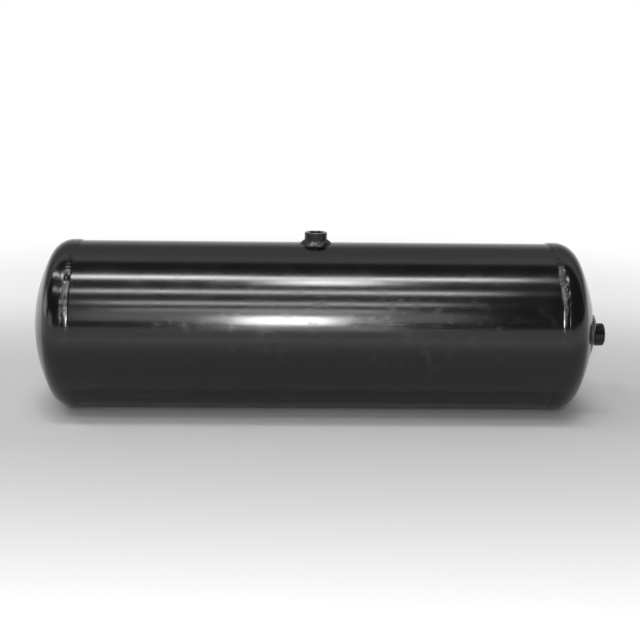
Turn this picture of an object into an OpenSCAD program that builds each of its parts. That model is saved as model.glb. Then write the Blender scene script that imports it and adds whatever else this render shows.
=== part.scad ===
// Horizontal pressure tank: a welded steel air reservoir lying on its side.
// Millimetres. X runs along the tank, +X towards the end with the side port, +Z is up.
// The origin is the point of the floor under the middle of the tank.

/* [Shell] */
// Outside diameter of the rolled shell
shell_od = 246; // [225:1:270]
// Length of the rolled shell, over its two bare ends
shell_len = 714; // [300:1:1600]
// Thickness of the shell sheet
shell_t = 1.5; // [1.2:0.1:4]

/* [Heads] */
// Thickness of the pressed head sheet
head_t = 1.5; // [1.2:0.1:3]
// Outside radius of the dished crown
crown_r = 228; // [180:1:320]
// Outside radius of the knuckle between crown and skirt
knuckle_r = 31; // [24:1:45]
// Length of head skirt slipped over the shell end
skirt_lap = 6; // [5:0.5:20]
// Straight length of the skirt, from its edge to the knuckle
skirt_straight = 4; // [4:0.5:18]
// Slip fit left between skirt and shell
slip = 0.1; // [0.05:0.05:0.4]
// Rounding on the outer edge of the skirt
skirt_round = 1.2; // [0.4:0.1:1.2]

/* [Girth and seam welds] */
// Width of the girth weld bead
girth_w = 10; // [7:0.5:14]
// Height of the girth weld bead above the shell
girth_h = 1.4; // [0.8:0.1:2]
// How far the girth bead runs up over the skirt edge
girth_over = 1; // [0.5:0.1:1.5]
// Gap between the two edges of the rolled sheet
seam_gap = 2; // [1:0.5:4]
// Width of the seam weld cap
seam_w = 6; // [5:0.5:10]
// Height of the seam weld cap above the shell
seam_h = 0.9; // [0.4:0.1:1.5]
// Place of the seam round the shell, in degrees from the top towards the back
seam_angle = 140; // [60:5:300]

/* [Port bosses] */
// Outside diameter of a port boss
boss_od = 33; // [28:0.5:40]
// Whole length of a port boss
boss_len = 23; // [22:0.5:30]
// Height of the top boss rim above the plate, on the axis of the boss
top_boss_out = 16; // [10:0.5:16]
// Height of the end boss rim above the plate, on the axis of the boss
end_boss_out = 14; // [10:0.5:16]
// Diameter inside the thread of the port
bore_d = 20.38; // [12:0.01:24]
// Bevel round the outer edge of the boss rim
rim_bevel = 0.8; // [0.2:0.1:1.5]
// Bevel at the mouth of the port
mouth_bevel = 1.2; // [0.4:0.1:2]
// Place of the top port along the tank, from mid-length
top_port_x = 0; // [-200:1:200]
// Distance of the end port from the tank axis, towards the front
end_port_offset = 50; // [30:1:60]

/* [Port welds] */
// Reach of the top port weld out from the boss
top_weld_leg = 7; // [4:0.5:10]
// Height of the top port weld on the boss
top_weld_h = 5; // [3:0.5:8]
// Reach of the end port weld out from the boss
end_weld_leg = 12; // [6:0.5:14]
// Height of the end port weld on the boss
end_weld_h = 4; // [3:0.5:6]

/* [Hidden] */
$fn = 96;
shell_r = shell_od / 2;
shell_ri = shell_r - shell_t;
boss_r = boss_od / 2;
bore_r = bore_d / 2;
// Heads: radii and the places of the arc centres along the tank
head_ri = shell_r + slip;
head_r = head_ri + head_t;
skirt_x = shell_len / 2 - skirt_lap;
tangent_x = skirt_x + skirt_straight;
knuckle_c = head_r - knuckle_r;
crown_x = tangent_x - sqrt(pow(crown_r - knuckle_r, 2) - pow(knuckle_c, 2));
apex_x = crown_x + crown_r;
// Height of the tank axis: the skirts touch the floor
axis_z = head_r;
// Overrun of cuts past the faces they open
over = shell_t;
// Girth bead: the arc through its two toes and its crown
girth_x = skirt_x + girth_over - girth_w / 2;
girth_arc = (pow(girth_w / 2, 2) + pow(girth_h, 2)) / (2 * girth_h);
girth_toe = girth_x - girth_w / 2;
// Seam cap: the arc through its two toes on the shell and its crown
seam_toe = shell_r * cos(asin(seam_w / 2 / shell_r));
seam_c = (pow(shell_r + seam_h, 2) - pow(shell_r, 2)) / (2 * (shell_r + seam_h - seam_toe));
// End port weld: the arc centred under the boss wall, through toe and top
end_arc = (pow(end_weld_leg, 2) + pow(end_weld_h, 2)) / (2 * end_weld_h);
// End port: where its axis meets the crown, and the lean of the plate there
end_port_x = crown_x + sqrt(pow(crown_r, 2) - pow(end_port_offset, 2));
end_lean = asin(end_port_offset / crown_r);
black_paint = [0.05, 0.05, 0.055];
weld_paint = [0.08, 0.08, 0.085];

// Turns a profile drawn with its Y along the tank into a body round the tank axis.
module round_tank() {
    translate([0, 0, axis_z]) rotate([0, 90, 0]) rotate([0, 0, 90]) rotate_extrude() children();
}

// A plain bar round the tank axis.
module tank_bar(r, length) {
    translate([0, 0, axis_z]) rotate([0, 90, 0]) cylinder(r = r, h = length, center = true);
}

// The slot or filling of the longitudinal seam.
module seam_slot(width, depth, length) {
    translate([0, 0, axis_z]) rotate([-seam_angle, 0, 0])
        translate([-length / 2, -width / 2, shell_r - depth]) cube([length, width, 2 * depth]);
}

// Section of a dished head, moved in by the sheet thickness for its inside.
module dish_section(inset, start) {
    reach = 2 * crown_r;
    intersection() {
        union() {
            intersection() {
                translate([0, crown_x]) circle(r = crown_r - inset, $fn = 360);
                polygon([[0, crown_x], [reach * knuckle_c, crown_x + reach * (tangent_x - crown_x)],
                         [0, crown_x + reach * (tangent_x - crown_x)]]);
            }
            translate([knuckle_c, tangent_x]) circle(r = knuckle_r - inset);
            polygon([[0, crown_x], [head_r - inset, crown_x], [head_r - inset, tangent_x],
                     [knuckle_c, tangent_x]]);
        }
        translate([0, start]) square([head_r, apex_x]);
    }
}

// Section of a head sheet with its rounded skirt edge.
module head_section() {
    difference() {
        dish_section(0, skirt_x);
        dish_section(head_t, skirt_x - over);
        difference() {
            translate([head_r - skirt_round, skirt_x - over]) square(skirt_round + over);
            translate([head_r - skirt_round, skirt_x + skirt_round]) circle(r = skirt_round);
        }
    }
}

// The bar through both port holes of the end port, along the tank.
module end_port_bar(r, back, front) {
    translate([end_port_x - back, -end_port_offset, axis_z]) rotate([0, 90, 0])
        cylinder(r = r, h = back + front);
}

// A port boss standing on its inner end, rim up, with its bore open right through.
module boss() {
    difference() {
        union() {
            cylinder(r = boss_r, h = boss_len - rim_bevel);
            translate([0, 0, boss_len - rim_bevel])
                cylinder(r1 = boss_r, r2 = boss_r - rim_bevel, h = rim_bevel);
        }
        translate([0, 0, -over]) cylinder(r = bore_r, h = boss_len + 2 * over);
        translate([0, 0, boss_len - mouth_bevel])
            cylinder(r1 = bore_r, r2 = bore_r + 2 * mouth_bevel, h = 2 * mouth_bevel);
    }
}

module shell() {
    color(black_paint) difference() {
        tank_bar(shell_r, shell_len);
        tank_bar(shell_ri, shell_len + 2 * over);
        seam_slot(seam_gap, 2 * over, shell_len + 2 * over);
        translate([top_port_x, 0, axis_z + shell_r - boss_len]) cylinder(r = boss_r + slip, h = 2 * boss_len);
    }
}

module left_head() {
    color(black_paint) mirror([1, 0, 0]) round_tank() head_section();
}

module right_head() {
    color(black_paint) difference() {
        round_tank() head_section();
        end_port_bar(boss_r + slip, boss_len, boss_len);
    }
}

module girth_weld() {
    round_tank() difference() {
        translate([shell_r + girth_h - girth_arc, girth_x]) circle(r = girth_arc);
        translate([head_ri - 2 * girth_arc, girth_x - girth_arc]) square(2 * girth_arc);
        dish_section(0, skirt_x + skirt_round);
        translate([head_r - skirt_round, skirt_x + skirt_round]) circle(r = skirt_round);
        translate([shell_r, skirt_x]) square([head_t - skirt_round + slip, girth_w]);
    }
}

module left_girth_weld() {
    color(weld_paint) mirror([1, 0, 0]) girth_weld();
}

module right_girth_weld() {
    color(weld_paint) girth_weld();
}

module seam_weld() {
    color(weld_paint) union() {
        intersection() {
            difference() {
                tank_bar(shell_r, shell_len);
                tank_bar(shell_ri, shell_len + 2 * over);
            }
            seam_slot(seam_gap, 2 * over, shell_len + 2 * over);
        }
        translate([0, 0, axis_z]) rotate([-seam_angle, 0, 0]) rotate([0, 90, 0])
            linear_extrude(height = 2 * girth_toe - seam_w, center = true) difference() {
                translate([-seam_c, 0]) circle(r = shell_r + seam_h - seam_c);
                circle(r = shell_r, $fn = 360);
            }
    }
}

module top_port_boss() {
    color(black_paint) translate([top_port_x, 0, axis_z + shell_r + top_boss_out - boss_len]) boss();
}

// A flat cone from the boss wall down to the toe, cut back to the saddle of the shell.
module top_port_weld() {
    $fn = 360;
    foot = boss_r + 2 * top_weld_leg;
    color(weld_paint) difference() {
        translate([top_port_x, 0, axis_z + shell_r]) rotate_extrude()
            polygon([[boss_r, -boss_len], [boss_r, top_weld_h], [foot, -top_weld_h], [foot, -boss_len]]);
        tank_bar(shell_r, shell_len);
    }
}

module end_port_boss() {
    color(black_paint) translate([end_port_x + end_boss_out - boss_len, -end_port_offset, axis_z])
        rotate([0, 90, 0]) boss();
}

// A domed ring square to the leaning plate, cut back to the sphere of the crown and the boss wall.
module end_port_weld() {
    color(weld_paint) difference() {
        translate([crown_x, 0, axis_z]) rotate([0, 0, -end_lean]) rotate([0, 90, 0])
            translate([0, 0, crown_r]) rotate_extrude() intersection() {
                translate([boss_r, end_weld_h - end_arc]) circle(r = end_arc);
                translate([boss_r - end_weld_h, -end_weld_leg])
                    square([boss_len + end_weld_leg, 2 * end_weld_leg]);
            }
        translate([crown_x, 0, axis_z]) sphere(r = crown_r, $fn = 360);
        end_port_bar(boss_r, boss_len, boss_len);
    }
}

shell();
left_head();
right_head();
left_girth_weld();
right_girth_weld();
seam_weld();
top_port_boss();
top_port_weld();
end_port_boss();
end_port_weld();
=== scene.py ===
# %% [markdown]
# # A welded air tank in gloss black paint
# The tank is a rolled steel shell with a dished end slipped over each end of it, two threaded
# bosses and the welds that hold them together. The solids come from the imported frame. This
# lesson makes the smooth, shiny skin of each of them, because a glossy black paint shows
# every flat of a coarse mesh as a kink in its reflections.

# %% Open the frame
from math import asin, atan2, cos, exp, hypot, pi, radians, sin, sqrt, tan, tau
import bpy
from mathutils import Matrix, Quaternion, Vector, noise


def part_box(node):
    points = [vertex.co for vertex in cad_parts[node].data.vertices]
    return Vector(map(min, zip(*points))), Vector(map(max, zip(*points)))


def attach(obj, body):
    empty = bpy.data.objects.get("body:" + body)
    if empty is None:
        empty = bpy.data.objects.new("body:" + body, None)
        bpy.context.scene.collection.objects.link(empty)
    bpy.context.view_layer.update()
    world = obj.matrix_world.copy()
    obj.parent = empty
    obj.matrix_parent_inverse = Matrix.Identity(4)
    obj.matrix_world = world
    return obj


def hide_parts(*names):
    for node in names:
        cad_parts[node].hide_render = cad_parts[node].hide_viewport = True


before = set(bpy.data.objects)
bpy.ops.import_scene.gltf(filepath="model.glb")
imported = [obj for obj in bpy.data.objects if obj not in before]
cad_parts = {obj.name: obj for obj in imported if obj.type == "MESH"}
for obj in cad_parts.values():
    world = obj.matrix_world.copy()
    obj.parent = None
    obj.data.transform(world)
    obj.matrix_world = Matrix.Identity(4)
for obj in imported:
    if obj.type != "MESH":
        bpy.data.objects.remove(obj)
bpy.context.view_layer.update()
mm = 0.001

# %% [markdown]
# ## The camera
# The tank was seen from a little above and almost square on, from about one and a half
# metres. The camera could be moved by eye until the outlines agree; here it is placed by the
# angles and the distance that were measured from the middle of the tank axis, turned a little
# about its own line of sight, and shifted by a few pixels to frame the tank.

# %% Camera
axis_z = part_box("left_head")[1].z / 2
middle = Vector((0, 0, axis_z))
azimuth, elevation, roll = radians(1.3), radians(13.68), radians(0.70)
distance = 1.5711
picture_px, focal_px = 640, 1050
centre_x_px, centre_y_px = 314.76, 324.29
sensor = 36
toward = Vector((-sin(azimuth) * cos(elevation), -cos(azimuth) * cos(elevation), sin(elevation)))
bpy.ops.object.camera_add(location=middle + distance * toward)
camera = bpy.context.object
camera.name = "photo_camera"
camera.rotation_mode = "QUATERNION"
camera.rotation_quaternion = (-toward).to_track_quat("-Z", "Y") @ Quaternion((0, 0, 1), roll)
camera.data.sensor_width = sensor
camera.data.lens = sensor * focal_px / picture_px
camera.data.shift_x = (picture_px / 2 - centre_x_px) / picture_px
camera.data.shift_y = (centre_y_px - picture_px / 2) / picture_px
bpy.context.scene.camera = camera
print("camera", round(distance, 3), "m away, lens", round(camera.data.lens, 1), "mm")

# %% [markdown]
# ## Profiles turned about an axis
# Everything here is round, so each piece is a profile turned about an axis. A profile starts
# as one point; spinning the last point draws an arc, extruding it draws a straight line, and
# the Screw modifier turns the whole profile into a body, as a lathe or a press die does. Each
# piece is made about its own axis at the origin and then set in its place on the tank.

# %% Draw a profile and sweep it
merge_gap = 0.001 * mm


def start_profile(name, point):
    bpy.ops.object.select_all(action="DESELECT")
    bpy.ops.mesh.primitive_plane_add(size=mm, location=point)
    piece = bpy.context.object
    piece.name = piece.data.name = name
    bpy.ops.object.transform_apply(location=True)
    bpy.ops.object.mode_set(mode="EDIT")
    bpy.ops.mesh.select_all(action="SELECT")
    bpy.ops.mesh.merge(type="CENTER")
    return piece


def draw_arc(angle, centre, axis, steps):
    bpy.ops.mesh.spin(steps=steps, angle=angle, center=centre, axis=axis)


def draw_line(x, y, z):
    bpy.ops.mesh.extrude_region_move(TRANSFORM_OT_translate={"value": (x, y, z)})


def sweep_profile(piece, axis, steps, turn=tau, rise=0, turns=1):
    bpy.ops.object.mode_set(mode="OBJECT")
    sweep = piece.modifiers.new("sweep", "SCREW")
    sweep.axis, sweep.angle, sweep.screw_offset, sweep.iterations = axis, turn, rise, turns
    sweep.steps = sweep.render_steps = steps
    sweep.use_merge_vertices, sweep.merge_threshold = turns == 1, merge_gap
    bpy.ops.object.modifier_apply(modifier=sweep.name)
    bpy.ops.object.mode_set(mode="EDIT")
    bpy.ops.mesh.select_all(action="SELECT")
    bpy.ops.mesh.remove_doubles(threshold=merge_gap)
    bpy.ops.mesh.normals_make_consistent(inside=False)
    bpy.ops.object.mode_set(mode="OBJECT")


# %% Set, smooth and drill a piece
drill_sides, drill_depth = 128, 60 * mm


def set_in_place(piece, spot, tilt=(0, 0, 0)):
    bpy.ops.object.select_all(action="DESELECT")
    piece.select_set(True)
    bpy.context.view_layer.objects.active = piece
    piece.location, piece.rotation_euler = spot, tilt
    bpy.ops.object.transform_apply(location=True, rotation=True)


def smooth_faces(piece, crease):
    bpy.ops.object.select_all(action="DESELECT")
    piece.select_set(True)
    bpy.context.view_layer.objects.active = piece
    bpy.ops.object.shade_smooth_by_angle(angle=crease)
    print(piece.name, len(piece.data.polygons), "faces")


def drill_hole(piece, radius, centre, tilt):
    bpy.ops.object.select_all(action="DESELECT")
    bpy.ops.mesh.primitive_cylinder_add(vertices=drill_sides, radius=radius, depth=drill_depth,
                                        location=centre, rotation=tilt)
    drill = bpy.context.object
    hole = piece.modifiers.new("port hole", "BOOLEAN")
    hole.object, hole.operation, hole.solver = drill, "DIFFERENCE", "EXACT"
    bpy.context.view_layer.objects.active = piece
    bpy.ops.object.modifier_apply(modifier=hole.name)
    bpy.data.objects.remove(drill)


# %% [markdown]
# ## The dished ends
# An end is pressed from a disc: a shallow crown, a tight knuckle and a short straight skirt
# that slips over the shell. A squashed sphere would come close, but its curve tightens
# slowly. The real crown and knuckle are two arcs that meet without a kink, so the profile is
# two spins, then round the skirt edge and back along the inside. The right end has a hole for
# its boss, drilled along the tank.

# %% Dished ends
sheet, slip = 1.5 * mm, 0.1 * mm
skirt_r = axis_z
shell_r = skirt_r - sheet - slip
crown_r, knuckle_r, edge_r = 228 * mm, 31 * mm, 1.2 * mm
skirt_x, tangent_x = 351 * mm, 355 * mm
knuckle_off = skirt_r - knuckle_r
crown_x = tangent_x - sqrt((crown_r - knuckle_r) ** 2 - knuckle_off ** 2)
crown_turn = asin(knuckle_off / (crown_r - knuckle_r))
boss_r, port_y = 16.5 * mm, -50 * mm
port_x = crown_x + sqrt(crown_r ** 2 - port_y ** 2)
outside_steps, edge_steps, inside_steps, end_round_steps = 30, 6, 16, 288
sheet_crease = radians(40)


def dished_end(name, side):
    crown_c, knuckle_c = (side * crown_x, 0, 0), (side * tangent_x, 0, knuckle_off)
    edge_c = (side * (skirt_x + edge_r), 0, skirt_r - edge_r)
    turn, back = (0, side, 0), (0, -side, 0)
    piece = start_profile(name, (side * (crown_x + crown_r), 0, 0))
    draw_arc(crown_turn, crown_c, turn, outside_steps)
    draw_arc(pi / 2 - crown_turn, knuckle_c, turn, outside_steps)
    draw_line(side * (skirt_x + edge_r - tangent_x), 0, 0)
    draw_arc(pi / 2, edge_c, turn, edge_steps)
    draw_line(0, 0, edge_r - sheet)
    draw_line(side * (tangent_x - skirt_x), 0, 0)
    draw_arc(pi / 2 - crown_turn, knuckle_c, back, inside_steps)
    draw_arc(crown_turn, crown_c, back, inside_steps)
    sweep_profile(piece, "X", end_round_steps)
    set_in_place(piece, middle)
    return piece


left_end = dished_end("left_end", -1)
right_end = dished_end("right_end", 1)
drill_hole(right_end, boss_r + slip, (port_x, port_y, axis_z), (0, pi / 2, 0))
for end in (left_end, right_end):
    smooth_faces(end, sheet_crease)

# %% [markdown]
# ## The shell
# The shell is one sheet rolled round until its edges almost meet. A plain tube would hide
# that, so a line along the tank is swept nearly a full turn, leaving the seam gap low at the
# back, then thickened inwards and drilled for the top boss. The line has a point either side
# of the hole, so that the cut changes only the short faces under the weld.

# %% Rolled shell
shell_half, beside_hole = 357 * mm, 30 * mm
seam_turn, seam_gap = radians(140), 2 * mm
gap_turn = seam_gap / shell_r
shell_round_steps = 359
rolled_shell = start_profile("rolled_shell", (-shell_half, 0, shell_r))
for length in (shell_half - beside_hole, 2 * beside_hole, shell_half - beside_hole):
    draw_line(length, 0, 0)
sweep_profile(rolled_shell, "X", shell_round_steps, tau - gap_turn)
thick = rolled_shell.modifiers.new("sheet", "SOLIDIFY")
thick.thickness, thick.offset, thick.use_even_offset = sheet, -1, True
bpy.ops.object.modifier_apply(modifier=thick.name)
set_in_place(rolled_shell, middle, (-seam_turn - gap_turn / 2, 0, 0))
drill_hole(rolled_shell, boss_r + slip, (0, 0, axis_z + shell_r), (0, 0, 0))
smooth_faces(rolled_shell, sheet_crease)

# %% [markdown]
# ## The crescents of a weld
# A weld freezes in small crescents as the torch moves on, two and a half to three and a half
# millimetres apart here and never quite even. A bump in the material could draw them, but
# each crest mirrors the lamps in another place, so they are real shape. The height comes
# from a row of bowed crests that noise pushes about, with some grain on top. Where the torch
# was set on again, it can leave a round blob with a small pit.

# %% Crescents and a blob
ripple_height, crescent_bow = 0.3 * mm, 0.45
uneven_run, drift_run, grain_run = 9 * mm, 4 * mm, 2 * mm
blob_long, blob_wide, blob_h = 6.3 * mm, 4.4 * mm, 2.6 * mm
pit_run, pit_off, pit_long, pit_wide = 1.5 * mm, -1.2 * mm, 2 * mm, 1.5 * mm


# The weights say how far each noise moves a crest and how much it adds to the height.
def crescents(run, across, seed, pitch):
    uneven = noise.noise(Vector((run / uneven_run, seed, 0.3)))
    drift = noise.noise(Vector((run / drift_run, 1.5 * across, seed + 5)))
    grain = noise.noise(Vector((run / grain_run, 3 * across, seed)))
    bowed = run / pitch + crescent_bow * across ** 2
    crest = abs(sin(pi * (bowed + 0.6 * uneven + 0.35 * drift)))
    return ripple_height * ((crest - 0.6) * (1 + 0.7 * uneven) + 0.5 * grain + 0.9 * drift)


def blob_with_pit(run, off):
    out = hypot(run / blob_long, off / blob_wide)
    pit = exp(-((run - pit_run) / pit_long) ** 2 - ((off - pit_off) / pit_wide) ** 2)
    return min(1, out ** 4), blob_h * (sqrt(max(0, 1 - out ** 2)) - 0.5 * pit)


print("crescents", ripple_height / mm, "mm high, blob", blob_h / mm, "mm high")

# %% [markdown]
# ## The girth welds
# Each skirt edge is joined to the shell by one round of weld that fills the step between
# them: it starts flat on the shell and climbs to the top of the skirt. The bead is a line
# along the tank turned about its axis; its points are then raised by the rounding of the bead
# and the crescents, which no single tool gives. Each bead has a rougher stretch on the front,
# where the torch was lifted and set on again, with a calm one below it. The left bead has
# the wider crescents, and the blob with a pit in its rough stretch.

# %% Girth welds
toe_sink = 0.05 * mm
bead_toe, bead_width, bead_h = 341.5 * mm, 11 * mm, 1.45 * mm
bead_steps, bead_round_steps = 18, 2400
wide_pitch, close_pitch = 3.4 * mm, 2.6 * mm
usual_rough, rough_reach = 0.35, radians(18)
calm_turn, calm_reach, calm_by = radians(-81), radians(11), 0.27
foot_curve, crown_curve = 2.6, 0.7
bead_wander, wander_waves = 0.5 * mm, 6
weld_crease = radians(60)


def girth_bead(name, side, pitch, rough_turn, rough_by, blob_turn, seed):
    piece = start_profile(name, (side * bead_toe, 0, shell_r - toe_sink))
    for step in range(bead_steps):
        draw_line(side * bead_width / bead_steps, 0, 0)
    sweep_profile(piece, "X", bead_round_steps)
    for point in piece.data.vertices:
        turn = atan2(point.co.y, point.co.z)
        up = (side * point.co.x - bead_toe) / bead_width
        fade = 4 * up * (1 - up)
        rough = usual_rough + rough_by * exp(-((turn - rough_turn) / rough_reach) ** 2)
        rough -= calm_by * exp(-((turn - calm_turn) / calm_reach) ** 2)
        lift = (bead_h + toe_sink) * (1 - (1 - up) ** foot_curve) ** crown_curve
        if blob_turn is not None:
            clear, blob = blob_with_pit(shell_r * (turn - blob_turn), (up - 0.5) * bead_width)
            rough *= clear
            lift += blob
        lift += fade * rough * crescents(shell_r * turn, 2 * up - 1, seed, pitch)
        wander = noise.noise(Vector((sin(turn) * wander_waves, cos(turn) * wander_waves, seed)))
        point.co.x += bead_wander * fade * wander
        point.co.y *= 1 + lift / shell_r
        point.co.z *= 1 + lift / shell_r
    set_in_place(piece, middle)
    smooth_faces(piece, weld_crease)
    return piece


left_bead = girth_bead("left_bead", -1, wide_pitch, rough_turn=radians(-55), rough_by=0.85,
                       blob_turn=radians(-46), seed=3.1)
right_bead = girth_bead("right_bead", 1, close_pitch, rough_turn=radians(-46), rough_by=1.2,
                        blob_turn=None, seed=7.7)

# %% [markdown]
# ## The seam weld
# The long seam is filled and capped by one straight bead, low at the back where it shows
# least. A low arc is drawn across the seam and swept along the tank in short steps for the
# crescents, its two ends run out flat, and a bar fills the gap between the sheet edges.

# %% Seam weld
cap_half, cap_h, cap_end, cap_fade = 3 * mm, 0.9 * mm, 339 * mm, 4 * mm
cap_arc_steps, cap_run_steps = 10, 2200
cap_ripple, cap_seed = 0.6, 5.5
cap_wander, cap_wander_run = 0.4 * mm, 60 * mm
cap_arc = (cap_half ** 2 + (cap_h + toe_sink) ** 2) / (2 * (cap_h + toe_sink))
cap_turn = asin(cap_half / cap_arc)
cap_toe = (-cap_end, -cap_arc * sin(cap_turn), cap_h - cap_arc + cap_arc * cos(cap_turn))
seam_cap = start_profile("seam_cap", cap_toe)
draw_arc(2 * cap_turn, (-cap_end, 0, cap_h - cap_arc), (1, 0, 0), cap_arc_steps)
sweep_profile(seam_cap, "X", cap_run_steps, 0, 2 * cap_end)
for point in seam_cap.data.vertices:
    across = max(-1, min(1, point.co.y / cap_half))
    fade = min(1, (cap_end - abs(point.co.x)) / cap_fade)
    ripple = cap_ripple * (1 - across ** 2) * crescents(point.co.x, across, cap_seed, wide_pitch)
    point.co.z = (point.co.z + toe_sink + ripple) * sqrt(max(0, fade)) - toe_sink
    point.co.y += cap_wander * noise.noise(Vector((point.co.x / cap_wander_run, 2.2, 0)))
bpy.ops.object.mode_set(mode="EDIT")
bpy.ops.mesh.primitive_cube_add(size=1, location=(0, 0, -sheet / 2),
                                scale=(2 * shell_half, seam_gap, sheet))
bpy.ops.object.mode_set(mode="OBJECT")
seam_spot = middle + shell_r * Vector((0, sin(seam_turn), cos(seam_turn)))
set_in_place(seam_cap, seam_spot, (-seam_turn, 0, 0))
smooth_faces(seam_cap, weld_crease)

# %% [markdown]
# ## The port welds
# A fillet of weld runs round each boss, its top against the boss wall and its toe on the
# plate: a flat cone under the top boss, a domed ring under the end boss. Each ring is turned
# about the line square to the plate, and every point that would lie below the plate is
# pressed up against it: a saddle under the top boss, a part of a sphere under the end boss.
# A Boolean cut would do that too, but it leaves ragged faces at the toe. The cone first
# follows the saddle down, so that its legs are equal all round, and the ring is thinned on
# its lower side.

# %% A ring of weld on a plate
ring_steps, ring_drop, ring_half = 480, 2 * mm, 5 * mm
swell_h, swell_waves = 0.5 * mm, 2.5
knob_h, knob_width = 0.35 * mm, 2.6 * mm
bow_reach, sideways = 1.6, 0.5


def saddle(x, y):
    return sqrt(shell_r ** 2 - y ** 2) - shell_r


def dish(x, y):
    return sqrt(crown_r ** 2 - x ** 2 - y ** 2) - crown_r


def turn_ring(ring, plate, toe_r, thin, ripple, seed):
    draw_line(0, 0, -ring_drop)
    sweep_profile(ring, "Z", ring_steps)
    for point in ring.data.vertices:
        out, turn = hypot(point.co.x, point.co.y), atan2(point.co.y, point.co.x)
        if toe_r:
            reach = max(0, (out - boss_r) / (toe_r - boss_r))
            point.co.z += reach * plate(toe_r * cos(turn), toe_r * sin(turn))
        rise = point.co.z - plate(point.co.x, point.co.y)
        point.co.z -= rise * thin * (0.5 + 0.5 * cos(turn)) ** 2
        fade = max(0, min(1, rise / mm))
        across = bow_reach * ((out - boss_r) / ring_half - 1)
        swell = noise.noise(Vector((swell_waves * sin(turn), swell_waves * cos(turn), seed)))
        knobs = noise.noise(Vector((out / knob_width, turn * boss_r / knob_width, seed)))
        rough = crescents(turn * boss_r, across, seed, close_pitch) + knob_h * knobs
        lift = fade * (ripple * rough + swell_h * swell)
        point.co.x *= 1 + sideways * lift / out
        point.co.y *= 1 + sideways * lift / out
        point.co.z = max(point.co.z + lift, plate(point.co.x, point.co.y) - toe_sink)


# %% Port welds
tuck, fillet_steps = 2 * mm, 24
top_leg, top_h = 7 * mm, 5 * mm
top_fillet = start_profile("top_fillet", (boss_r - tuck, 0, top_h))
draw_line(tuck, 0, 0)
for step in range(fillet_steps):
    draw_line(2 * top_leg / fillet_steps, 0, -2 * top_h / fillet_steps)
turn_ring(top_fillet, saddle, toe_r=boss_r + top_leg, thin=0, ripple=1.2, seed=1.4)
set_in_place(top_fillet, (0, 0, axis_z + shell_r))

end_leg, end_h, tuck_drop, past_toe = 12 * mm, 4 * mm, 0.1 * mm, 1.25
end_arc = (end_leg ** 2 + end_h ** 2) / (2 * end_h)
end_lean = asin(port_y / crown_r)
end_fillet = start_profile("end_fillet", (boss_r - tuck, 0, end_h - tuck_drop))
draw_line(tuck, 0, tuck_drop)
end_turn = asin(past_toe * end_leg / end_arc)
draw_arc(end_turn, (boss_r, 0, end_h - end_arc), (0, -1, 0), fillet_steps)
turn_ring(end_fillet, dish, toe_r=None, thin=0.75, ripple=0.6, seed=9.2)
set_in_place(end_fillet, (port_x, port_y, axis_z), (0, pi / 2, end_lean))
for ring in (top_fillet, end_fillet):
    smooth_faces(ring, weld_crease)

# %% [markdown]
# ## The threaded bosses
# A boss is turned from bar: a wall with the rings that a coarse feed leaves, a bevelled rim
# and a bevelled mouth. The rings spread the light of a lamp up and down the wall. The thread
# is one tooth carried round in a helix, twenty-two millimetres across with a pitch of one and
# a half, and its first turn is opened out by the mouth bevel like a real tapped hole. Plain
# rings would look much the same, but a helix is as short to write and right from close by.
# Both bosses are the same bushing, so it is made once and copied.

# %% Turned bushing
boss_len = 23 * mm
pitch, minor_r, major_r = 1.5 * mm, 10.19 * mm, 11 * mm
behind_thread = 0.05 * mm
rim_bevel, mouth_bevel = 0.8 * mm, 1.2 * mm
mark_count, mark_pitch, mark_depth = 22, 1 * mm, 0.11 * mm
boss_round_steps = 128
turned_crease = radians(30)


def turned_bushing(name):
    wall_r = major_r + behind_thread
    mouth_r = minor_r + mouth_bevel
    piece = start_profile(name, (wall_r, 0, 0))
    draw_line(boss_r - wall_r, 0, 0)
    for mark in range(mark_count):
        draw_line(-mark_depth, 0, mark_pitch / 2)
        draw_line(mark_depth, 0, mark_pitch / 2)
    draw_line(0, 0, boss_len - rim_bevel - mark_count * mark_pitch)
    draw_line(-rim_bevel, 0, rim_bevel)
    draw_line(mouth_r - boss_r + rim_bevel, 0, 0)
    draw_line(wall_r - mouth_r, 0, wall_r - mouth_r)
    draw_line(0, 0, mouth_r - wall_r - boss_len)
    sweep_profile(piece, "Z", boss_round_steps)
    smooth_faces(piece, turned_crease)
    return piece


# %% Thread
crest_flat, flank, root_flat = pitch / 4, pitch * 5 / 16, pitch / 8
thread_turns, thread_steps = 18, 72
thread_top = boss_len - 0.3 * mm
trim_gap = 0.0001 * mm


def cut_thread(name):
    piece = start_profile(name, (minor_r, 0, -pitch))
    draw_line(0, 0, crest_flat)
    draw_line(major_r - minor_r, 0, flank)
    draw_line(0, 0, root_flat)
    draw_line(minor_r - major_r, 0, flank)
    sweep_profile(piece, "Z", thread_steps, tau, pitch, thread_turns)
    bpy.ops.object.mode_set(mode="EDIT")
    for height, above in ((0, False), (thread_top, True)):
        bpy.ops.mesh.select_all(action="SELECT")
        bpy.ops.mesh.bisect(plane_co=(0, 0, height), plane_no=(0, 0, 1), threshold=trim_gap,
                            clear_outer=above, clear_inner=not above)
    bpy.ops.object.mode_set(mode="OBJECT")
    for point in piece.data.vertices:
        out = hypot(point.co.x, point.co.y)
        mouth = minor_r + point.co.z - (boss_len - mouth_bevel)
        point.co.x *= max(out, mouth) / out
        point.co.y *= max(out, mouth) / out
    smooth_faces(piece, turned_crease)
    return piece


# %% Two bosses from one bushing
top_out, end_out = 16 * mm, 14 * mm


def copy_of(piece, name):
    copy = piece.copy()
    copy.data = piece.data.copy()
    copy.name = copy.data.name = name
    bpy.context.collection.objects.link(copy)
    return copy


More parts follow.
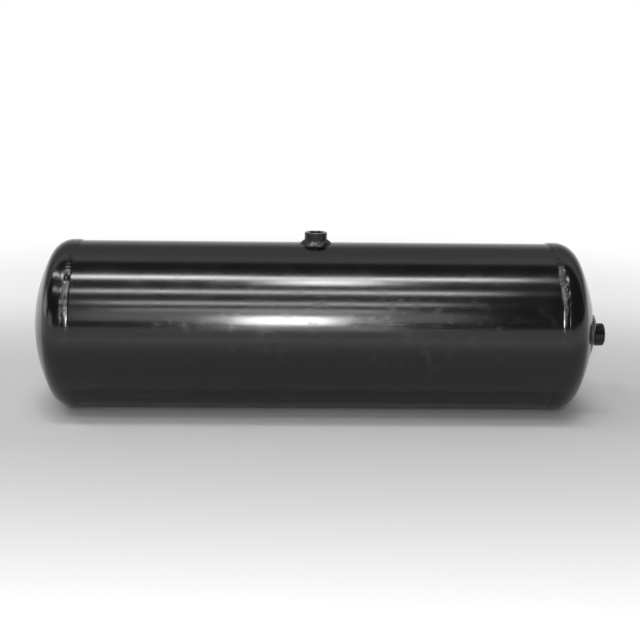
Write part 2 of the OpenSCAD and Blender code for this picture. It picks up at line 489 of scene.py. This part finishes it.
top_boss, top_thread = turned_bushing("top_boss"), cut_thread("top_thread")
end_boss, end_thread = copy_of(top_boss, "end_boss"), copy_of(top_thread, "end_thread")
for piece in (top_boss, top_thread):
    set_in_place(piece, (0, 0, axis_z + shell_r + top_out - boss_len))
for piece in (end_boss, end_thread):
    set_in_place(piece, (port_x + end_out - boss_len, port_y, axis_z), (0, pi / 2, 0))
print("bosses stand", top_out / mm, "and", end_out / mm, "mm out of the plate")

# %% [markdown]
# ## Tools for materials
# A material is a net of nodes. One function turns a hex colour into the linear light that
# Blender counts in, one adds a node with its settings and links, and three short ones start
# a material, lay bumps of given widths and depths over each other, and close the material.
# The patterns could come from pictures, but noise in real millimetres fits any piece.

# %% Tools for materials
def srgb(code):
    parts = [int(code[i:i + 2], 16) / 255 for i in (0, 2, 4)]
    return [p / 12.92 if p <= 0.04045 else ((p + 0.055) / 1.055) ** 2.4 for p in parts] + [1]


def add_node(material, kind, inputs=None, **settings):
    made = material.node_tree.nodes.new("ShaderNode" + kind)
    for name, value in settings.items():
        setattr(made, name, value)
    for name, value in (inputs or {}).items():
        if isinstance(value, bpy.types.NodeSocket):
            material.node_tree.links.new(value, made.inputs[name])
        else:
            made.inputs[name].default_value = value
    return made


def start_material(name):
    material = bpy.data.materials.new(name)
    material.use_nodes = True
    material.node_tree.nodes.clear()
    return material, add_node(material, "TexCoord").outputs["Object"]


def surface_bump(material, place, layers):
    below = None
    for width, depth in layers:
        height = add_node(material, "TexNoise", {"Vector": place, "Scale": 1 / width, "Detail": 1})
        inputs = {"Height": height.outputs[0], "Strength": 1, "Distance": depth}
        if below:
            inputs["Normal"] = below
        below = add_node(material, "Bump", inputs).outputs[0]
    return below


def end_material(material, inputs):
    shader = add_node(material, "BsdfPrincipled", inputs)
    add_node(material, "OutputMaterial", {"Surface": shader.outputs[0]})
    print(material.name, len(material.node_tree.nodes), "nodes")


# %% [markdown]
# ## Enamel on the sheet
# The whole tank is sprayed with one coat of black enamel after welding. On the sheet it lies
# like glass, with a faint orange peel of about two millimetres and the slow waves of rolled
# sheet. Handling has left dull rubbed patches, long fine scratches and dust on the front.
# Each kind of mark is noise of its own size, cut off so that only the peaks stay, and a soft
# oval round the front of the shell gathers them there. Scratches and dust are drawn wider
# than they are, because real ones would be too fine to show.

# %% Marks of handling
# To the eye: paler, duller spots and lines that break the mirror of the black paint.
grip_middle, grip_reach = (0.04, -0.11, 0.145), (0.28, 0.07, 0.06)
rub_width, speck_width = 21 * mm, 4.2 * mm
scratch_long, scratch_wide, scratch_lean = 62 * mm, 2 * mm, 0.06
slender = scratch_long / scratch_wide
sheet_paint, place = start_material("black_enamel_sprayed_on_sheet")
grip = add_node(sheet_paint, "Mapping", {
    "Vector": place, "Location": grip_middle, "Scale": grip_reach}, vector_type="TEXTURE")
grip = add_node(sheet_paint, "VectorMath", {0: grip.outputs[0]}, operation="LENGTH")
handled = add_node(sheet_paint, "MapRange", {
    "Value": grip.outputs["Value"], "From Min": 0.6, "From Max": 1.2, "To Min": 1, "To Max": 0.12})
rub = add_node(sheet_paint, "TexNoise", {
    "Vector": place, "Scale": 1 / rub_width, "Detail": 6, "Roughness": 0.65})
rubbed = add_node(sheet_paint, "MapRange", {
    "Value": rub.outputs[0], "From Min": 0.55, "From Max": 0.67, "To Max": 0.75})
turned = add_node(sheet_paint, "Mapping", {
    "Vector": place, "Rotation": (0, scratch_lean, 0), "Scale": (1, slender, slender)})
line = add_node(sheet_paint, "TexNoise", {
    "Vector": turned.outputs[0], "Scale": 1 / scratch_long, "Detail": 3})
scratched = add_node(sheet_paint, "MapRange", {
    "Value": line.outputs[0], "From Min": 0.6, "From Max": 0.74, "To Max": 0.8})
speck = add_node(sheet_paint, "TexNoise", {
    "Vector": place, "Scale": 1 / speck_width, "Detail": 2})
dusted = add_node(sheet_paint, "MapRange", {
    "Value": speck.outputs[0], "From Min": 0.63, "From Max": 0.75, "To Max": 0.7})
marks = add_node(sheet_paint, "Math", {
    0: rubbed.outputs[0], 1: scratched.outputs[0]}, operation="MAXIMUM")
marks = add_node(sheet_paint, "Math", {
    0: marks.outputs[0], 1: dusted.outputs[0]}, operation="MAXIMUM")
marks = add_node(sheet_paint, "Math", {
    0: marks.outputs[0], 1: handled.outputs[0]}, operation="MULTIPLY")
print("marks made by", len(sheet_paint.node_tree.nodes), "nodes")

# %% Enamel on the sheet
# To the eye: deep black glass, in which the lamps are soft streaks that waver a little.
peel_width, peel_depth = 2.2 * mm, 0.006 * mm
wave_width, wave_depth = 70 * mm, 0.1 * mm
smear_width = 33 * mm
peel = surface_bump(sheet_paint, place, ((peel_width, peel_depth), (wave_width, wave_depth)))
smear = add_node(sheet_paint, "TexNoise", {
    "Vector": place, "Scale": 1 / smear_width, "Detail": 4})
gloss = add_node(sheet_paint, "MapRange", {
    "Value": smear.outputs[0], "From Min": 0.35, "From Max": 0.75, "To Min": 0.14, "To Max": 0.18})
dull = add_node(sheet_paint, "MapRange", {"Value": marks.outputs[0], "To Max": 0.12})
rough = add_node(sheet_paint, "Math", {0: gloss.outputs[0], 1: dull.outputs[0]}, operation="ADD")
tone = add_node(sheet_paint, "Mix", {
    "Factor": marks.outputs[0], "A": srgb("060606"), "B": srgb("262625")}, data_type="RGBA")
end_material(sheet_paint, {
    "Base Color": tone.outputs["Result"], "Roughness": rough.outputs[0], "IOR": 1.5,
    "Normal": peel})

# %% [markdown]
# ## Enamel on the welds
# On a weld the wet paint runs off the crests into the hollows, so it is thinner there and
# even glossier than on the sheet, with a fine grain from spatter. The ripples are already in
# the mesh; the material only adds the grain and small changes of tone and gloss.

# %% Enamel on the welds
# To the eye: black with many small sharp sparkles.
spatter_width, spatter_depth, smear_width = 1.4 * mm, 0.03 * mm, 11 * mm
weld_paint, place = start_material("black_enamel_over_weld")
grain = surface_bump(weld_paint, place, ((spatter_width, spatter_depth),))
smear = add_node(weld_paint, "TexNoise", {"Vector": place, "Scale": 1 / smear_width, "Detail": 3})
rough = add_node(weld_paint, "MapRange", {
    "Value": smear.outputs[0], "From Min": 0.35, "From Max": 0.75, "To Min": 0.04, "To Max": 0.08})
tone = add_node(weld_paint, "Mix", {
    "Factor": smear.outputs[0], "A": srgb("050505"), "B": srgb("0e0d0d")}, data_type="RGBA")
end_material(weld_paint, {
    "Base Color": tone.outputs["Result"], "Roughness": rough.outputs[0], "IOR": 1.5,
    "Normal": grain})

# %% [markdown]
# ## Enamel on the bosses
# The bosses got the edge of the spray: the coat is thin and dusty over the tool marks, so it
# is rougher and mirrors a little less than the sheet, which a lower index of refraction gives.

# %% Enamel on the bosses
# To the eye: a dull, very dark wall with only broad, weak highlights.
dust_width, dust_depth, smear_width = 1.1 * mm, 0.012 * mm, 8.3 * mm
boss_paint, place = start_material("black_enamel_over_turned_steel")
grain = surface_bump(boss_paint, place, ((dust_width, dust_depth),))
smear = add_node(boss_paint, "TexNoise", {"Vector": place, "Scale": 1 / smear_width, "Detail": 4})
rough = add_node(boss_paint, "MapRange", {
    "Value": smear.outputs[0], "From Min": 0.35, "From Max": 0.75, "To Min": 0.16, "To Max": 0.28})
tone = add_node(boss_paint, "Mix", {
    "Factor": smear.outputs[0], "A": srgb("050505"), "B": srgb("101010")}, data_type="RGBA")
end_material(boss_paint, {
    "Base Color": tone.outputs["Result"], "Roughness": rough.outputs[0], "IOR": 1.4,
    "Normal": grain})

# %% [markdown]
# ## Bare threads
# The threads were plugged while spraying and stay bare steel, cut with a tap and oiled. That
# is a dark metal with uneven gloss. The tool grain is drawn coarser than it is, because a real
# one would be too fine to show.

# %% Bare threads
# To the eye: thin grey glints on dark turns.
tap_width, tap_depth, oil_width = 0.7 * mm, 0.008 * mm, 5 * mm
thread_steel, place = start_material("oiled_steel_thread")
grain = surface_bump(thread_steel, place, ((tap_width, tap_depth),))
oil = add_node(thread_steel, "TexNoise", {"Vector": place, "Scale": 1 / oil_width, "Detail": 3})
rough = add_node(thread_steel, "MapRange", {
    "Value": oil.outputs[0], "From Min": 0.3, "From Max": 0.75, "To Min": 0.28, "To Max": 0.45})
tone = add_node(thread_steel, "Mix", {
    "Factor": oil.outputs[0], "A": srgb("383736"), "B": srgb("686664")}, data_type="RGBA")
end_material(thread_steel, {
    "Base Color": tone.outputs["Result"], "Roughness": rough.outputs[0], "Metallic": 1,
    "Normal": grain})

# %% [markdown]
# ## The floor
# The tank lies on a round pale floor with a low wall far out, so that the ground is white
# from every side. Near the tank the floor is coloured a darker grey: a painted shadow pool,
# an oval because the tank is long, which also darkens what the lower shell mirrors; the real
# shadow falls on it too. Farther out the floor turns into even white, for the eye and for
# reflections alike, without sending more light to the tank.

# %% Floor
floor_r, wall_h, floor_sides = 7, 1.1, 180
bpy.ops.object.select_all(action="DESELECT")
bpy.ops.mesh.primitive_cylinder_add(vertices=floor_sides, radius=floor_r, depth=2 * wall_h,
                                    location=(0, 0, wall_h))
floor = bpy.context.object
floor.name = "pale_floor"
bpy.ops.object.transform_apply(location=True)
bpy.ops.object.mode_set(mode="EDIT")
bpy.ops.mesh.select_all(action="SELECT")
bpy.ops.mesh.bisect(plane_co=(0, 0, wall_h), plane_no=(0, 0, 1), clear_outer=True)
bpy.ops.object.mode_set(mode="OBJECT")
print("floor", 2 * floor_r, "m across, wall", wall_h, "m high")

# %% Floor material
# To the eye: a light grey ground that fades into white; the grey round the tank is painted shade.
painted_shade_until, pale_from, oval = 0.2, 0.85, (0.4, 1, 1)
plain_until, white_from = 0.65, 1.8
ground, place = start_material("pale_floor_with_painted_shade")
beside = add_node(ground, "VectorMath", {0: place, 1: oval}, operation="MULTIPLY")
beside = add_node(ground, "VectorMath", {0: beside.outputs[0]}, operation="LENGTH")
clear = add_node(ground, "MapRange", {
    "Value": beside.outputs["Value"], "From Min": painted_shade_until, "From Max": pale_from},
    interpolation_type="SMOOTHSTEP")
# Painted shade: the floor colour is a darker grey in an oval round the tank, a painted shadow
# pool.
tone = add_node(ground, "Mix", {
    "Factor": clear.outputs[0], "A": srgb("b8b8b8"), "B": srgb("e4e4e4")}, data_type="RGBA")
pale = add_node(ground, "BsdfDiffuse", {"Color": tone.outputs["Result"]})
white = add_node(ground, "Emission", {"Color": (1, 1, 1, 1), "Strength": 1})
out = add_node(ground, "VectorMath", {0: place}, operation="LENGTH")
far = add_node(ground, "MapRange", {
    "Value": out.outputs["Value"], "From Min": plain_until, "From Max": white_from},
    interpolation_type="SMOOTHSTEP")
ray = add_node(ground, "LightPath")
seen = add_node(ground, "Math", {
    0: ray.outputs["Is Camera Ray"], 1: ray.outputs["Is Glossy Ray"]}, operation="ADD")
seen = add_node(ground, "Math", {
    0: seen.outputs[0], 1: ray.outputs["Is Transmission Ray"]}, operation="ADD")
share = add_node(ground, "Math", {
    0: seen.outputs[0], 1: far.outputs[0]}, operation="MULTIPLY", use_clamp=True)
mixed = add_node(ground, "MixShader", {
    0: share.outputs[0], 1: pale.outputs[0], 2: white.outputs[0]})
add_node(ground, "OutputMaterial", {"Surface": mixed.outputs[0]})
floor.data.materials.append(ground)
print(ground.name, len(ground.node_tree.nodes), "nodes")

# %% [markdown]
# ## The lamps
# Black gloss paint shows little but the lamps. Most of them are long strips far away
# overhead, whose reflections run along the shell as streaks; two of the strips go on to the
# far left, where the left end mirrors them. A small square lamp low in front makes the bright
# patch in the middle, with two weak panels round it, and two windows light the left end. A
# lamp is placed by the angle at which it stands above the tank axis and by how wide it looks
# from there, because these say where on the round shell its reflection lies.

# %% Strip lamps
lamp_level = 0.42


def strip_lamp(name, rise, reach, left, right, spread, radiance, swing=0):
    across = (left + right) / 2
    place = middle + Vector((across, -reach * cos(radians(rise)), reach * sin(radians(rise))))
    place.y += (right - across) * tan(radians(swing))
    bpy.ops.object.light_add(type="AREA", location=place)
    lamp = bpy.context.object
    lamp.name = name
    lamp.rotation_euler = (pi / 2 - radians(rise), 0, -radians(swing))
    lamp.data.shape = "RECTANGLE"
    lamp.data.size, lamp.data.size_y = right - left, reach * radians(spread)
    lamp.data.energy = lamp_level * radiance * pi * lamp.data.size * lamp.data.size_y
    print(name, round(lamp.data.energy), "W")


# rise in degrees, reach in metres, left and right end in metres, spread in degrees, radiance
strip_lamp("overhead_strip", 78, 8, -2.2, 2.05, 4, 53)
strip_lamp("overhead_left", 79.5, 8, -2.2, -0.5, 3, 25)
strip_lamp("overhead_square", 71.5, 8, -0.14, 0.68, 6, 80)
strip_lamp("overhead_far_left", 78, 8, -8.9, -2.6, 3, 45, swing=27)
strip_lamp("second_strip", 57, 8, -2.1, 1.75, 3, 46)
strip_lamp("second_far_left", 57, 8, -7.6, -2.6, 3, 25, swing=19)
strip_lamp("third_strip", 41, 8, -1.8, 1.3, 3, 31)
strip_lamp("low_strip", 31.5, 8, -1.7, 0.9, 3, 15)
strip_lamp("low_middle", 30, 8, -0.6, 0.8, 4, 8)
strip_lamp("front_panel", 22.5, 2, -0.75, 0.53, 12, 4.5)
strip_lamp("front_glow", 9, 1.97, -0.28, 0.3, 7, 6)
strip_lamp("front_square", 18, 1.98, -0.19, 0.09, 10, 105)

# %% Windows on the left
window_away, window_above, window_tip = 6, 1.2, 0.2


def window_lamp(name, way, width, height, radiance):
    flat = Vector((-window_away * sin(way), -window_away * cos(way), window_above))
    bpy.ops.object.light_add(type="AREA", location=middle + flat,
                             rotation=(pi / 2 - window_tip, 0, -way))
    lamp = bpy.context.object
    lamp.name = name
    lamp.data.shape = "RECTANGLE"
    lamp.data.size, lamp.data.size_y = width, height
    lamp.data.energy = radiance * pi * width * height
    print(name, round(lamp.data.energy), "W")


window_lamp("left_window", radians(94), 2.6, 1.4, 1.8)
window_lamp("left_screen", radians(59), 2.6, 1.1, 1.3)

# %% [markdown]
# ## The room
# The rest of what the paint mirrors is a dim room. It is darker in front and overhead, so
# that the streaks stand out, and brighter behind, which lightens the back of the shell's top.
# The grey is a ramp over the angle that runs from the front over the top to the back.

# %% Room
dim = 0.1
half_turn = 180
greys = ((0, dim), (105, dim), (108, 0.9), (125, 0.45), (145, 0.25), (half_turn, 0.2))
world = bpy.data.worlds.new("grey_room")
bpy.context.scene.world = world
world.use_nodes = True
world.node_tree.nodes.clear()
way = add_node(world, "SeparateXYZ", {0: add_node(world, "TexCoord").outputs["Generated"]})
front = add_node(world, "Math", {0: way.outputs["Y"], 1: -1}, operation="MULTIPLY")
rise = add_node(world, "Math", {0: way.outputs["Z"], 1: front.outputs[0]}, operation="ARCTAN2")
part = add_node(world, "Math", {0: rise.outputs[0], 1: pi}, operation="DIVIDE")
room = add_node(world, "ValToRGB", {0: part.outputs[0]})
for degree, grey in greys:
    stop = room.color_ramp.elements.new(degree / half_turn)
    stop.color = (grey, grey, grey, 1)
# The first and the last stop close the ramp with the dim grey.
for stop in (room.color_ramp.elements[0], room.color_ramp.elements[-1]):
    stop.color = (dim, dim, dim, 1)
glow = add_node(world, "Background", {"Color": room.outputs[0], "Strength": 1})
add_node(world, "OutputWorld", {"Surface": glow.outputs[0]})
bpy.context.scene.view_settings.view_transform = "Standard"
print(world.name, len(room.color_ramp.elements), "stops")

# %% [markdown]
# ## Hand over
# Each piece gets its finish, takes the place of its solid and rides on the tank. Its corners
# are printed beside those of the solid, because the skin must not be larger than the tank.

# %% Hand over
for piece, node, slot, paint in (
        (rolled_shell, "shell", "shell_paint", sheet_paint),
        (left_end, "left_head", "left_head_paint", sheet_paint),
        (right_end, "right_head", "right_head_paint", sheet_paint),
        (left_bead, "left_girth_weld", "weld_paint", weld_paint),
        (right_bead, "right_girth_weld", "weld_paint", weld_paint),
        (seam_cap, "seam_weld", "weld_paint", weld_paint),
        (top_fillet, "top_port_weld", "weld_paint", weld_paint),
        (end_fillet, "end_port_weld", "weld_paint", weld_paint),
        (top_boss, "top_port_boss", "boss_paint", boss_paint),
        (top_thread, "top_port_boss", "boss_paint", thread_steel),
        (end_boss, "end_port_boss", "boss_paint", boss_paint),
        (end_thread, "end_port_boss", "boss_paint", thread_steel)):
    piece.data.materials.clear()
    piece.data.materials.append(paint)
    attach(piece, "root")
    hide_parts(node)
    low = [round(min(v.co[i] for v in piece.data.vertices) / mm, 2) for i in range(3)]
    high = [round(max(v.co[i] for v in piece.data.vertices) / mm, 2) for i in range(3)]
    solid = [[round(v / mm, 2) for v in corner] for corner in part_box(node)]
    print(piece.name, low, high, "solid", solid)
